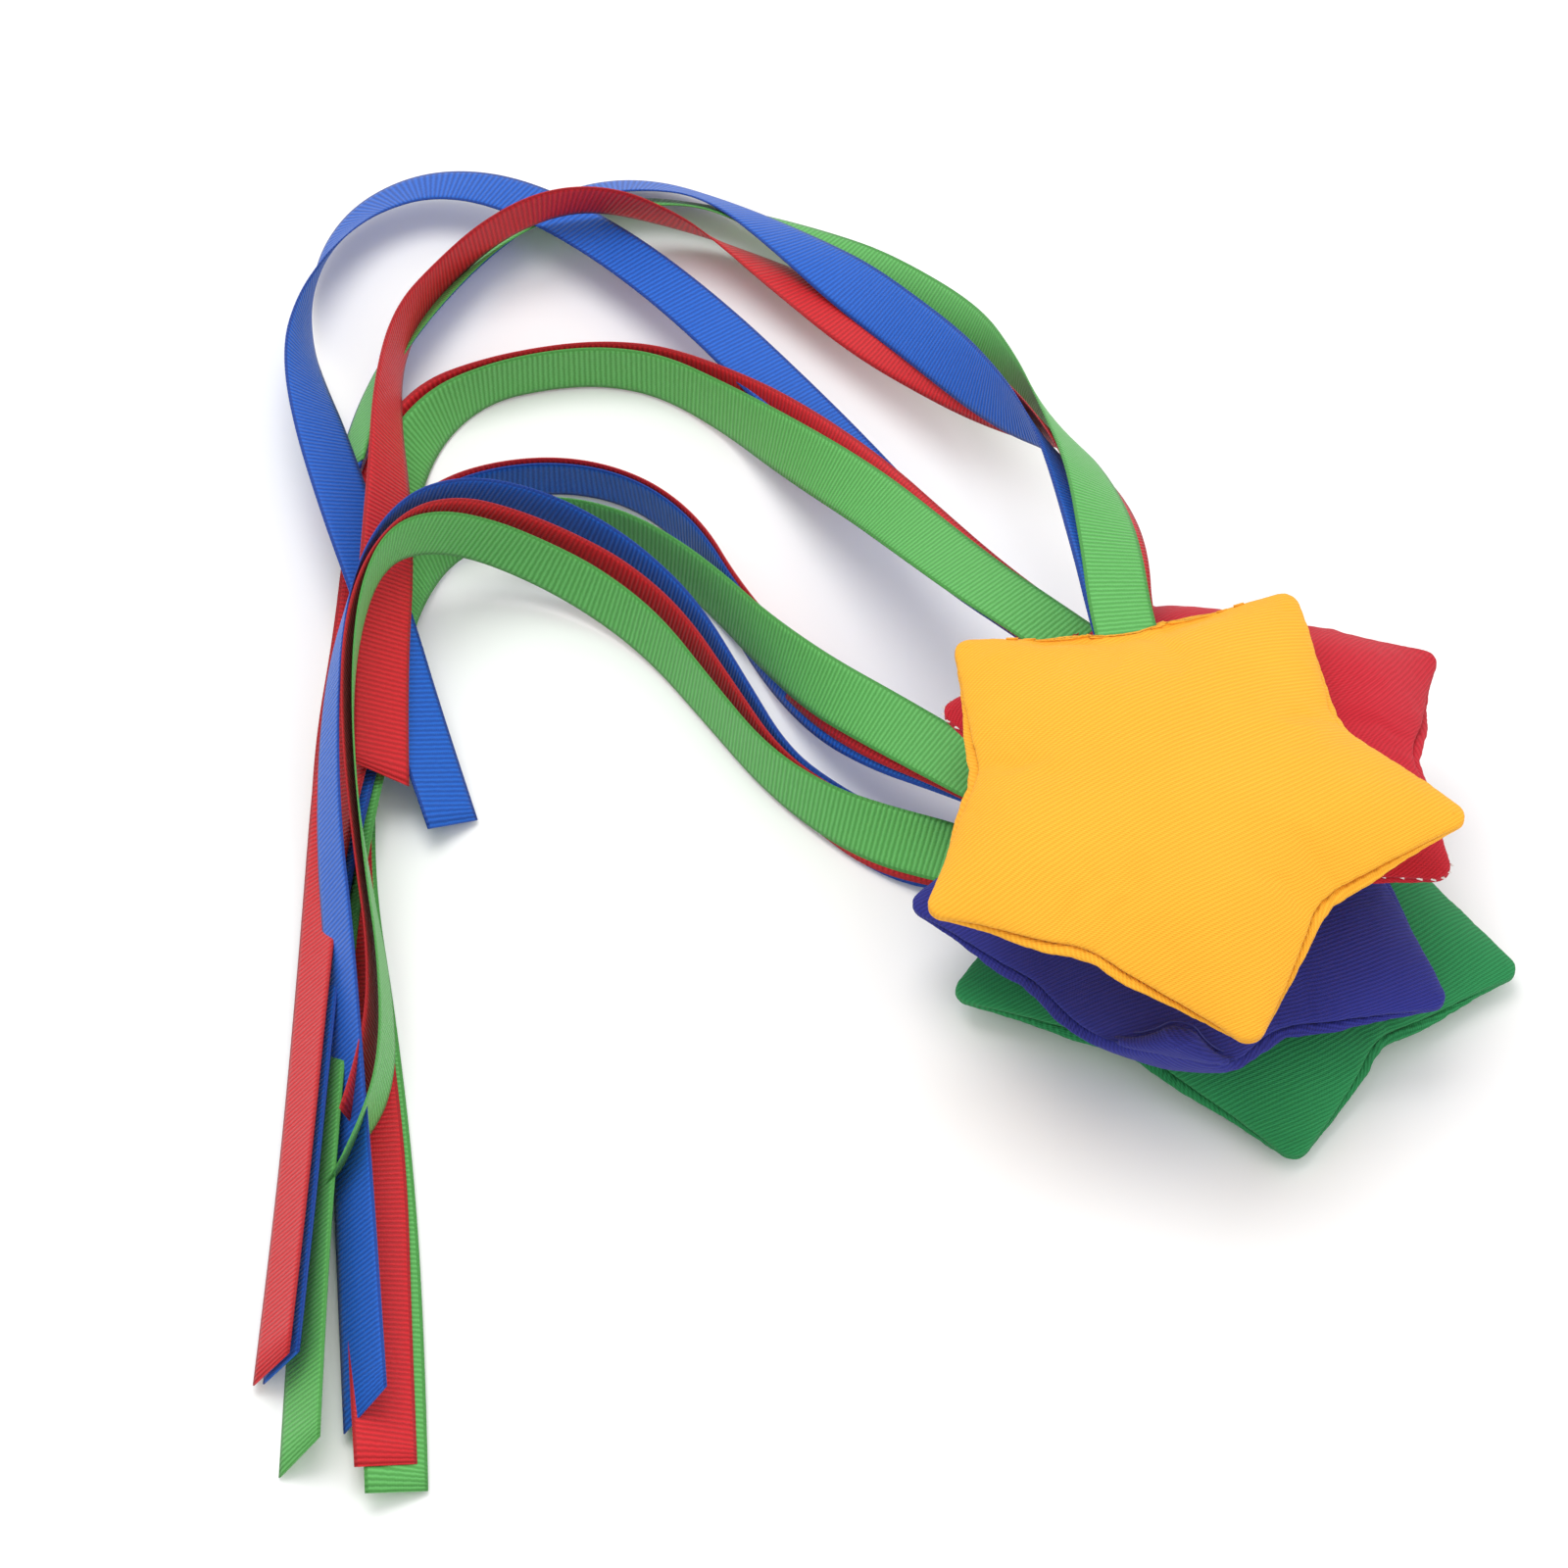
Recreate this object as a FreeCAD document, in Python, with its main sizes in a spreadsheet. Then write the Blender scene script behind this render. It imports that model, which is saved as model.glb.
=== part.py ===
"""A stack of four star-shaped bean bags, each with three ribbon streamers sewn into one side.

Millimetres, +Z up. The origin is the centre of the stack's footprint, on the table it lies on.
Each bag is made about its own seam plane and is then placed in the stack. The streamers lie on the
table beside the stack, standing on edge where they curve, and pass over and under one another.
"""
import FreeCAD, Part
import math
import os

DOC = FreeCAD.newDocument("star_streamer_bags")

# ---------------------------------------------------------------- driving dimensions
SIZES = {
    "star_radius": 55.0,        # centre to the end of a point
    "notch_radius": 38.0,       # centre to the middle of a side
    "point_round": 4.0,         # radius of a point's end
    "notch_round": 20.0,        # radius of the hollow in the middle of a side
    "bag_thickness": 15.0,
    "shoulder_inset": 2.5,      # how far in the side wall leans at the shoulder
    "shoulder_share": 0.62,     # shoulder height as a share of half the thickness
    "crown_inset": 17.0,        # how far in the flat of the crown begins
    "cloth": 0.6,
    "allowance": 6.5,           # seam allowance turned into the bag
    "fill_gap": 0.4,
    "stack_gap": 0.6,           # between one bag and the next
    "ribbon_width": 12.0,
    "ribbon_thickness": 0.35,
    "ribbon_slot_gap": 0.35,    # round the three ribbon ends, in the seam
    "thread": 0.4,
    "thread_inset": 1.6,        # seam line, in from the edge
    "stitch_length": 2.2,
    "stitch_pitch": 3.4,
    "closing_inset": 4.4,       # closing stitches, in from the edge
}
POINTS = 5
CLOSING_STITCHES = 7            # in each half of the side that was left open
RIBBON_COLOURS = ("green", "red", "blue")

# Bags from the table up: name, centre in plan, turn about Z, and the side the ribbons leave by,
# counted from the first point.
BAGS = [
    ("green", (6.0, 2.0), 58.8, 1.5),
    ("blue", (-2.0, -3.0), 40.0, 1.5),
    ("red", (1.0, 19.5), 29.1, 1.5),
    ("yellow", (-7.5, -8.0), 64.9, 0.5),
]

# Each streamer's route by hand: x, y, z of its middle line, and its roll about that line in
# degrees. Roll 0 lies flat, and 90 or -90 stands on edge. The first point is inside the seam.
ROUTES = {
    "yellow_ribbon_green": [
        (-13.5, 23.4, 54.7, 0), (-15.8, 35.2, 54.7, 0), (-17, 55, 53.5, 10), (-20, 78, 47, 38),
        (-25, 101, 38, 52), (-33, 124, 27, 95), (-45, 148, 17, 135), (-60, 168, 10, 150),
        (-77, 186, 7, 196), (-94, 197, 6.2, 224), (-112, 200, 4.8, 215), (-128, 198, 4.8, 214),
        (-142, 187, 5, 219), (-154, 169, 5.2, 224), (-163, 150, 5.4, 231), (-167.5, 134, 5.5, 235),
        (-169.5, 120, 5.5, 234),
    ],
    "yellow_ribbon_red": [
        (-13.5, 23.4, 54.3, 0), (-15.8, 35.2, 54.3, 0), (-16, 55, 53, 10), (-19, 77, 48, 30),
        (-26, 98, 40, 55), (-36, 116, 29, 100), (-48, 135, 19, 140), (-61, 152, 12, 164),
        (-77, 171, 8, 196), (-93, 185, 7, 228), (-106, 189, 11, 242), (-119, 188, 17.2, 250),
        (-131, 185, 18.3, 256), (-143, 179, 15.5, 259), (-154, 168, 11.5, 267), (-160.5, 151, 14, 280),
        (-161.5, 127.5, 18.6, 294), (-160, 104, 19.5, 312), (-159.5, 81, 19, 330), (-160, 56, 16, 333),
        (-159, 33, 11.5, 334),
    ],
    "yellow_ribbon_blue": [
        (-13.5, 23.4, 53.9, 0), (-15.8, 35.2, 53.9, 0), (-18.5, 56, 51, 10), (-22, 79, 44, 34),
        (-26, 100, 36, 60), (-37, 120, 26, 105), (-48, 143, 17, 138), (-61, 164, 10, 150),
        (-77, 184, 6.5, 196), (-94, 200, 5.2, 224), (-111, 206, 4.4, 212), (-126, 204, 4.4, 210),
        (-140, 196, 4.8, 220), (-154, 180, 5.2, 229), (-164, 159, 5.5, 235), (-170, 137, 5.6, 240),
        (-172.5, 116, 5.4, 236),
    ],
    "red_ribbon_green": [
        (-22.4, 41.3, 39.1, 0), (-31.2, 49.5, 39.1, 0), (-42, 62, 36, -6), (-53, 79, 30, -15),
        (-64, 98, 22, -32), (-80, 121, 12, -60), (-92, 136, 7, -78), (-105, 146, 6.3, -86),
        (-117, 149, 6.3, -92), (-129, 148, 6.3, -93), (-142, 144, 6.3, -92), (-153, 135, 5.8, -64),
        (-159.5, 121, 4.4, -40), (-162.5, 102, 2.3, -14), (-163.5, 77, 1.1, -4), (-163, 48, 0.8, 0),
        (-162, 14, 0.9, 0), (-159.5, -20, 0.8, 0), (-157, -57, 1.1, -2), (-153, -96, 2.1, -12),
        (-150, -128, 3, -22),
    ],
    "red_ribbon_red": [
        (-22.4, 41.3, 38.7, 0), (-31.2, 49.5, 38.7, 0), (-41.5, 62.5, 35.5, -8), (-52, 80, 29.5, -18),
        (-63, 100, 21.5, -36), (-80, 123, 12, -62), (-92, 138, 7, -80), (-105, 147.5, 6.3, -87),
        (-117, 150.5, 6.3, -92), (-129, 149.5, 6.3, -93), (-143, 145.5, 6.3, -92), (-155, 137, 5.8, -64),
        (-161, 123, 4.6, -40), (-164, 103, 3.2, -14), (-165, 77, 2.2, -4), (-163.5, 48, 1.7, 0),
        (-162, 14, 1.8, 0), (-159, -20, 1.7, 0), (-156.5, -56, 2, -2), (-154, -94, 3.1, -12),
        (-151.5, -123, 4, -22),
    ],
    "red_ribbon_blue": [
        (-22.4, 41.3, 38.3, 0), (-31.2, 49.5, 38.3, 0), (-42, 63.5, 34.6, 2), (-54, 83, 28, 0),
        (-68, 109, 20, 2), (-82, 135, 14, 3), (-97, 160, 10.5, 3), (-114, 179, 10, 5),
        (-130, 192, 9.9, 8), (-144, 200, 9, 11), (-157, 202, 7.6, 17), (-168, 197, 6.6, 28),
        (-175, 188, 6.2, 46), (-179, 176, 6.4, 72), (-181, 160, 8.2, 104), (-180, 143, 12, 132),
        (-175, 122, 14.5, 155), (-168, 98, 15, 160), (-160, 74, 13.6, 160), (-153, 51, 8, 158),
        (-145, 27, 3.2, 154),
    ],
    "blue_ribbon_green": [
        (-29.1, 14, 23.5, 0), (-39.3, 20.3, 23.5, -4), (-49.5, 29.5, 22, -16), (-61, 41, 18.6, -30),
        (-73, 54, 14, -50), (-84, 70, 9, -70), (-93, 84, 6.6, -78), (-102, 94, 6.3, -83),
        (-112, 102, 6.3, -88), (-124, 106.5, 6.3, -92), (-137, 106, 6.4, -92), (-149, 100, 6.4, -76),
        (-157.5, 88, 6.5, -47), (-162.5, 72, 8, -36), (-166, 50, 9, -36), (-168, 22, 8.8, -52),
        (-168.5, -8, 9, -62), (-168, -44, 7.4, -64), (-166.5, -82, 6.2, -66), (-167, -122, 5.9, -68),
    ],
    "blue_ribbon_red": [
        (-29.1, 14, 23.1, 0), (-39.3, 20.3, 23.1, -4), (-48.5, 28.5, 20.5, -12), (-60.5, 39, 16.5, -28),
        (-72, 52, 12, -50), (-83, 68.5, 8, -72), (-90.5, 84, 6.4, -80), (-96, 98, 6.3, -74),
        (-104, 109, 6.3, -78), (-114, 116, 6.3, -88), (-126, 119, 6.4, -94), (-139, 117, 6.4, -92),
        (-150, 110, 6.4, -76), (-158, 98, 6.4, -48), (-162.5, 83, 6.8, -40), (-166, 63, 7.8, -34),
        (-168.5, 38, 8.3, -42), (-169.5, 10, 9.4, -60), (-170, -23, 8.4, -66), (-171, -64, 6.3, -67),
        (-173, -104, 6, -68),
    ],
    "blue_ribbon_blue": [
        (-29.1, 14, 22.7, 0), (-39.3, 20.3, 22.7, -4), (-48.5, 27.5, 19.5, -12), (-60.5, 37.5, 15, -28),
        (-72, 50, 10.5, -50), (-83, 67, 7, -72), (-90.5, 81, 6.4, -80), (-97, 94, 6.3, -74),
        (-104.5, 104, 6.3, -78), (-114, 111, 6.3, -88), (-125.5, 114, 6.4, -94), (-138, 112.5, 6.4, -92),
        (-148.5, 106, 6.3, -76), (-156, 95, 6.2, -50), (-161, 79, 6.2, -40), (-165, 60, 6.8, -34),
        (-167.5, 35, 7.4, -42), (-168.6, 8, 9.2, -60), (-169, -26, 8.2, -66), (-169.2, -66, 6.1, -67),
        (-171, -103, 5.9, -68),
    ],
    "green_ribbon_green": [
        (-25.2, 9.3, 7.9, 0), (-36.8, 12, 7.9, -4), (-49, 16.5, 7.6, -28), (-61, 21, 7.2, -52),
        (-72, 27.5, 6.8, -74), (-84, 39, 6.5, -84), (-95, 56, 6.4, -82), (-106, 73, 6.6, -76),
        (-118, 84, 8, -76), (-130, 89, 12, -84), (-142, 89.5, 18.5, -93), (-152, 85, 25, -96),
        (-159, 77, 28.8, -94), (-163, 65, 28.2, -92), (-164.5, 48, 25.4, -93), (-163.5, 27, 20.5, -92),
        (-160, 5, 13.8, -84), (-156, -16, 10.2, -80), (-154.5, -38, 9.2, -78), (-158.5, -54, 9.3, -80),
        (-162, -63, 9.4, -82),
    ],
    "green_ribbon_red": [
        (-25.2, 9.3, 7.5, 0), (-36.8, 12, 7.5, -4), (-49.5, 15.5, 6.9, -26), (-61, 19.5, 6.5, -50),
        (-71.5, 26, 6.3, -74), (-82, 38.5, 6.3, -81), (-91.5, 56.5, 6.3, -79), (-101.5, 74.5, 6.5, -75),
        (-113, 86.5, 7.8, -76), (-125, 92, 11.5, -84), (-137, 93, 17.8, -93), (-147.5, 90, 24.2, -98),
        (-156, 82.5, 28.4, -97), (-162.5, 70, 28.8, -90), (-165.5, 54, 27, -84), (-165.2, 34, 22, -82),
        (-162, 10, 14.5, -80), (-158, -13, 10, -78), (-157.6, -34, 9, -77), (-161, -50, 9, -76),
    ],
    "green_ribbon_blue": [
        (-25.2, 9.3, 7.1, 0), (-36.8, 12, 7.1, -4), (-49.5, 14.5, 6.5, -26), (-60.5, 18, 6.3, -50),
        (-71, 25, 6.3, -74), (-80, 38.5, 6.3, -81), (-88.5, 56.5, 6.3, -79), (-98.5, 77, 6.5, -75),
        (-110, 91, 7.6, -78), (-122, 98.5, 11.2, -86), (-134, 99.5, 17.4, -94), (-145.5, 96, 23.6, -97),
        (-155.5, 88, 28, -94), (-163, 75, 29.2, -84), (-167, 60, 27, -74), (-168, 40, 22.8, -69),
        (-166.5, 14, 17.2, -66), (-163.5, -10, 13.2, -64), (-160.8, -40, 10, -58), (-158.5, -72, 8.4, -46),
        (-155.5, -113, 7.8, -38),
    ],
}


# ---------------------------------------------------------------- the sheet
def make_sheet():
    sheet = DOC.addObject("Spreadsheet::Sheet", "sizes")
    for row, (alias, value) in enumerate(SIZES.items(), start=1):
        sheet.set(f"A{row}", alias)
        sheet.set(f"B{row}", str(value))
        sheet.setAlias(f"B{row}", alias)
    DOC.recompute()
    return sheet


SHEET = make_sheet()
STAR = SHEET.star_radius
NOTCH = SHEET.notch_radius
ROUND = SHEET.point_round
HOLLOW = SHEET.notch_round
CLOTH = SHEET.cloth
WIDTH = SHEET.ribbon_width
THICK = SHEET.ribbon_thickness
STEP = math.pi / POINTS
HALF_THICKNESS = "sizes.bag_thickness / 2"
SLOT_HALF = "(3 * sizes.ribbon_thickness + sizes.ribbon_slot_gap) / 2"


# ---------------------------------------------------------------- the star outline
def side_shape(inset, round_radius=None):
    """One side of the outline moved in by inset: a hollow's arc between two straight edges.

    Returns the distance from the star's centre to the hollow's centre, its radius and half angle.
    """
    tip = round_radius or ROUND
    arm = STAR - inset - tip
    hollow = HOLLOW * (NOTCH - inset) / NOTCH
    outside = NOTCH - inset + hollow
    across, along = arm * math.sin(STEP), arm * math.cos(STEP) - outside
    apart = math.hypot(across, along)
    lean = math.acos((tip + hollow) / apart)
    half_angle = math.pi - math.atan2(across, along) - lean
    return outside, hollow, half_angle


def polar(distance, angle):
    return FreeCAD.Vector(distance * math.cos(angle), distance * math.sin(angle), 0)


def star_edges(inset, round_radius=None):
    """Arcs and straight edges of the outline moved in by inset, each tangent to the next."""
    tip = round_radius or ROUND
    outside, hollow, half_angle = side_shape(inset, round_radius)
    half_end = STEP + half_angle
    up = FreeCAD.Vector(0, 0, 1)
    edges = []
    for i in range(POINTS):
        point_at = 2 * STEP * i
        side_at = point_at + STEP
        facing = side_at + math.pi
        end = polar(STAR - inset - tip, point_at)
        next_end = polar(STAR - inset - tip, point_at + 2 * STEP)
        middle = polar(outside, side_at)
        edges.append(Part.ArcOfCircle(
            Part.Circle(end, up, tip), point_at - half_end, point_at + half_end))
        edges.append(Part.LineSegment(
            end + polar(tip, point_at + half_end), middle + polar(hollow, facing + half_angle)))
        edges.append(Part.ArcOfCircle(
            Part.Circle(middle, up, hollow), facing - half_angle, facing + half_angle))
        edges.append(Part.LineSegment(
            middle + polar(hollow, facing - half_angle),
            next_end + polar(tip, point_at + 2 * STEP - half_end)))
    return edges


def side_place(inset, along):
    """A place on the side at angle 0, that far along it from its middle, and its lean."""
    outside, hollow, half_angle = side_shape(inset)
    bend = min(abs(along) / hollow, half_angle)
    past = abs(along) - hollow * bend
    way = math.copysign(1, along)
    place_at = FreeCAD.Vector(
        outside - hollow * math.cos(bend) + past * math.sin(bend),
        way * (hollow * math.sin(bend) + past * math.cos(bend)), 0,
    )
    return place_at, -way * math.degrees(bend)


def star_sketch(body, name, inset, level, round_radius=None):
    """A sketch of the outline on the body's seam plane, raised by the expression in level."""
    sketch = body.newObject("Sketcher::SketchObject", name)
    plane = next(f for f in body.Origin.OriginFeatures if f.Role == "XY_Plane")
    sketch.AttachmentSupport = [(plane, "")]
    sketch.MapMode = "FlatFace"
    sketch.setExpression("AttachmentOffset.Base.z", level)
    for edge in star_edges(inset, round_radius):
        sketch.addGeometry(edge, False)
    return sketch


def pillow(body, kind, name, inset, drop, sides):
    """Loft a pillow through the outline at the seam, the shoulder and the crown.

    inset moves every outline in and drop lowers the shoulder and crown, so that the same call
    makes the outside, the hollow and the filling. sides is (1,) for the top half, (-1,) for the
    bottom half, and both for the whole.
    """
    shoulder = f"(sizes.shoulder_share * {HALF_THICKNESS} - ({drop}) / 2)"
    crown = f"({HALF_THICKNESS} - ({drop}))"
    in_shoulder = inset + SHEET.shoulder_inset
    in_crown = SHEET.crown_inset + inset / 2
    lower = []
    if -1 in sides:
        lower = [(in_crown, f"-{crown}"), (in_shoulder, f"-{shoulder}")]
    upper = []
    if 1 in sides:
        upper = [(in_shoulder, shoulder), (in_crown, crown)]
    levels = lower + [(inset, "0")] + upper
    sketches = [star_sketch(body, f"{name}_{i}", *level) for i, level in enumerate(levels)]
    loft = body.newObject(kind, name)
    loft.Profile = sketches[0]
    loft.Sections = sketches[1:]
    loft.Ruled = True
    return loft


def ring_pad(body, kind, name, outer_inset, inner_inset, length, reversed_way=False, midplane=False):
    """Pad or pocket the band between two outlines, from the seam plane."""
    sketch = star_sketch(body, f"{name}_sketch", outer_inset, "0")
    inner_round = ROUND * 0.7
    for edge in star_edges(inner_inset, inner_round):
        sketch.addGeometry(edge, False)
    pad = body.newObject(kind, name)
    pad.Profile = sketch
    pad.setExpression("Length", length)
    pad.Reversed = reversed_way
    pad.Midplane = midplane
    return pad


def place(obj, bag, index):
    """Turn and raise a sub-part made about its bag's seam plane to its place in the stack."""
    name, (x, y), turn, side = bag
    obj.Placement = FreeCAD.Placement(
        FreeCAD.Vector(x, y, 0), FreeCAD.Rotation(FreeCAD.Vector(0, 0, 1), turn)
    )
    pitch = "(sizes.bag_thickness + sizes.stack_gap)"
    obj.setExpression("Placement.Base.z", f"{HALF_THICKNESS} + {index} * {pitch}")


# ---------------------------------------------------------------- the sub-parts of a bag
def make_panel(bag, index, way):
    """One cloth panel: half a hollow pillow with its seam allowance turned in, way 1 up, -1 down."""
    name = f"{bag[0]}_{'upper' if way > 0 else 'lower'}_panel"
    body = DOC.addObject("PartDesign::Body", name)
    body.Label = name
    pillow(body, "PartDesign::AdditiveLoft", f"{name}_outside", 0.0, "0", (way,))
    pillow(body, "PartDesign::SubtractiveLoft", f"{name}_hollow", CLOTH, "sizes.cloth", (way,))
    ring_pad(
        body, "PartDesign::Pad", f"{name}_allowance", CLOTH / 2, SHEET.allowance,
        "2 * sizes.cloth", reversed_way=way < 0,
    )
    slot = body.newObject("PartDesign::SubtractiveBox", f"{name}_ribbon_slot")
    slot.setExpression("Length", "sizes.allowance + sizes.shoulder_inset")
    slot.setExpression("Width", "sizes.ribbon_width + 2 * sizes.ribbon_slot_gap")
    slot.setExpression("Height", SLOT_HALF)
    angle = 2 * STEP * bag[3]
    half_width = WIDTH / 2 + SHEET.ribbon_slot_gap
    inner = NOTCH - SHEET.allowance - CLOTH
    corner = FreeCAD.Rotation(FreeCAD.Vector(0, 0, 1), math.degrees(angle)).multVec(
        FreeCAD.Vector(inner, -half_width, 0)
    )
    slot.Placement = FreeCAD.Placement(
        corner, FreeCAD.Rotation(FreeCAD.Vector(0, 0, 1), math.degrees(angle))
    )
    if way < 0:
        slot.setExpression("Placement.Base.z", f"-{SLOT_HALF}")
    place(body, bag, index)
    return body


def make_fill(bag, index):
    """The pellets as one closed mass that fills the bag, grooved round the turned-in allowance."""
    name = f"{bag[0]}_pellet_fill"
    body = DOC.addObject("PartDesign::Body", name)
    body.Label = name
    gap = CLOTH + SHEET.fill_gap
    pillow(body, "PartDesign::AdditiveLoft", f"{name}_mass", gap, "sizes.cloth + sizes.fill_gap", (-1, 1))
    ring_pad(
        body, "PartDesign::Pocket", f"{name}_groove", -CLOTH, SHEET.allowance + SHEET.fill_gap,
        "4 * sizes.cloth + 2 * sizes.fill_gap", midplane=True,
    )
    place(body, bag, index)
    return body


def make_seam_thread(bag, index):
    """The lockstitch that joins both allowances all round, as one round thread."""
    name = f"{bag[0]}_seam_thread"
    body = DOC.addObject("PartDesign::Body", name)
    body.Label = name
    spine = star_sketch(body, f"{name}_line", SHEET.thread_inset, "0")
    profile = body.newObject("Sketcher::SketchObject", f"{name}_section")
    plane = next(f for f in body.Origin.OriginFeatures if f.Role == "XZ_Plane")
    profile.AttachmentSupport = [(plane, "")]
    profile.MapMode = "FlatFace"
    at_point = FreeCAD.Vector(STAR - SHEET.thread_inset, 0, 0)
    circle = Part.Circle(at_point, FreeCAD.Vector(0, 0, 1), SHEET.thread / 2)
    profile.addGeometry(circle, False)
    pipe = body.newObject("PartDesign::AdditivePipe", f"{name}_pipe")
    pipe.Profile = profile
    pipe.Spine = spine
    place(body, bag, index)
    return body


def make_closing_stitches(bag, index):
    """The hand stitches that close the side left open for turning, each side of the ribbons."""
    name = f"{bag[0]}_closing_stitches"
    angle = math.degrees(2 * STEP * bag[3])
    turn = FreeCAD.Rotation(FreeCAD.Vector(0, 0, 1), angle)
    stitches = []
    for way in (-1, 1):
        for i in range(CLOSING_STITCHES):
            along = way * (WIDTH / 2 + SHEET.stitch_pitch * (i + 0.7))
            middle, lean_angle = side_place(SHEET.closing_inset, along)
            stitch = DOC.addObject("Part::Box", f"{name}_{'a' if way < 0 else 'b'}{i}")
            stitch.setExpression("Length", "sizes.thread")
            stitch.setExpression("Width", "sizes.stitch_length")
            stitch.setExpression("Height", "4 * sizes.cloth + 2 * sizes.thread")
            lean = FreeCAD.Rotation(FreeCAD.Vector(0, 0, 1), lean_angle)
            corner = FreeCAD.Vector(
                -SHEET.thread / 2, -SHEET.stitch_length / 2, -2 * CLOTH - SHEET.thread
            )
            at = turn.multVec(middle + lean.multVec(corner))
            stitch.Placement = FreeCAD.Placement(at, turn.multiply(lean))
            stitches.append(stitch)
    group = DOC.addObject("Part::Compound", name)
    group.Label = name
    group.Links = stitches
    place(group, bag, index)
    return group


# ---------------------------------------------------------------- the streamers
def path_stations(name, route):
    """Stations of straight runs joined by tangent arcs, as (place, direction, roll in degrees)."""
    points = [FreeCAD.Vector(*p[:3]) for p in route]
    rolls = [p[3] for p in route]
    stations = [(points[0], (points[1] - points[0]).normalize(), rolls[0])]
    radii = []
    for i in range(1, len(points) - 1):
        before, after = points[i] - points[i - 1], points[i + 1] - points[i]
        cut = 0.45 * min(before.Length, after.Length)
        turn = before.getAngle(after)
        radii.append(cut / math.tan(turn / 2))
        into, out_of = FreeCAD.Vector(before).normalize(), FreeCAD.Vector(after).normalize()
        start, end = points[i] - into * cut, points[i] + out_of * cut
        share = cut / before.Length
        roll_in = rolls[i] + (rolls[i - 1] - rolls[i]) * share
        share = cut / after.Length
        roll_out = rolls[i] + (rolls[i + 1] - rolls[i]) * share
        middle_way = (into + out_of).normalize()
        inward = (out_of - into).normalize()
        middle = points[i] + inward * (radii[-1] * (1 / math.cos(turn / 2) - 1))
        stations += [(start, into, roll_in), (middle, middle_way, rolls[i]), (end, out_of, roll_out)]
    stations.append((points[-1], (points[-1] - points[-2]).normalize(), rolls[-1]))
    print(f"{name}: radii {' '.join(f'{r:.0f}' for r in radii)} mm")
    return stations


def ribbon_solid(name, route):
    """A thin flat-faced strip along the route, twisted by each station's roll."""
    up = FreeCAD.Vector(0, 0, 1)
    rings = []
    length = 0.0
    last = None
    for place_at, way, roll in path_stations(name, route):
        level = up.cross(way).normalize()
        rise = way.cross(level)
        angle = math.radians(roll)
        across = level * math.cos(angle) + rise * math.sin(angle)
        through = rise * math.cos(angle) - level * math.sin(angle)
        half_w, half_t = across * (WIDTH / 2), through * (THICK / 2)
        rings.append([
            place_at - half_w - half_t, place_at + half_w - half_t,
            place_at + half_w + half_t, place_at - half_w + half_t,
        ])
        length += (place_at - last).Length if last else 0.0
        last = place_at
    faces = []

    def triangle(a, b, c):
        faces.append(Part.Face(Part.makePolygon([a, b, c, a])))

    for near, far in zip(rings, rings[1:]):
        for k, n in ((0, 1), (1, 2)):
            triangle(near[k], near[n], far[n])
            triangle(near[k], far[n], far[k])
        for k, n in ((2, 3), (3, 0)):
            triangle(near[k], near[n], far[k])
            triangle(near[n], far[n], far[k])
    for ring in (rings[0], rings[-1]):
        faces.append(Part.Face(Part.makePolygon(ring + [ring[0]])))
    solid = Part.makeSolid(Part.makeShell(faces))
    if solid.Volume < 0:
        solid.reverse()
    drift = abs(solid.Volume) / (WIDTH * THICK * length) - 1
    print(f"{name}: length {length:.0f} mm, volume off section x length by {drift:+.2%}")
    return solid


def make_ribbon(name):
    ribbon = DOC.addObject("Part::Feature", name)
    ribbon.Label = name
    ribbon.Shape = ribbon_solid(name, ROUTES[name])
    ribbon.Placement = FreeCAD.Placement()
    return ribbon


# ---------------------------------------------------------------- build, check and write
def build():
    parts = []
    for index, bag in enumerate(BAGS):
        parts.append(make_panel(bag, index, 1))
        parts.append(make_panel(bag, index, -1))
        parts.append(make_fill(bag, index))
        parts.append(make_seam_thread(bag, index))
        parts.append(make_closing_stitches(bag, index))
        for colour in RIBBON_COLOURS:
            parts.append(make_ribbon(f"{bag[0]}_ribbon_{colour}"))
    DOC.recompute()
    return parts


def check_and_write(parts):
    for obj in DOC.Objects:
        bad = [word for word in obj.State if word in ("Invalid", "Error")]
        if bad:
            raise RuntimeError(f"{obj.Name} is {bad}")
    for part in parts:
        shape = part.Shape
        if shape.isNull() or not shape.isValid() or shape.Volume <= 0:
            raise RuntimeError(f"{part.Label} has no valid solid")
    os.makedirs("parts", exist_ok=True)
    for part in parts:
        part.Shape.exportStep(f"parts/{part.Label}.step")
        box = part.Shape.BoundBox
        print(f"{part.Label}: {len(part.Shape.Solids)} solids, {part.Shape.Volume:.1f} mm3, "
              f"z {box.ZMin:.2f} to {box.ZMax:.2f}")
    bags = [part.Shape.BoundBox for part in parts if "panel" in part.Label]
    print("bags x", min(b.XMin for b in bags), max(b.XMax for b in bags),
          "y", min(b.YMin for b in bags), max(b.YMax for b in bags))


check_and_write(build())
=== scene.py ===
"""A stack of four star-shaped bean bags with grosgrain streamers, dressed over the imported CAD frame.

Metres, +Z up, the same frame as the CAD. The streamers lie within 10 mm of the CAD's. Each bag is
sewn from two star panels, blown up by a cloth simulation, and then settled on the bag under it.
"""
import bpy
import math
import numpy as np
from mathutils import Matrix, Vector
from mathutils import noise as smooth_noise
from mathutils.bvhtree import BVHTree
from mathutils.geometry import delaunay_2d_cdt


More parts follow.
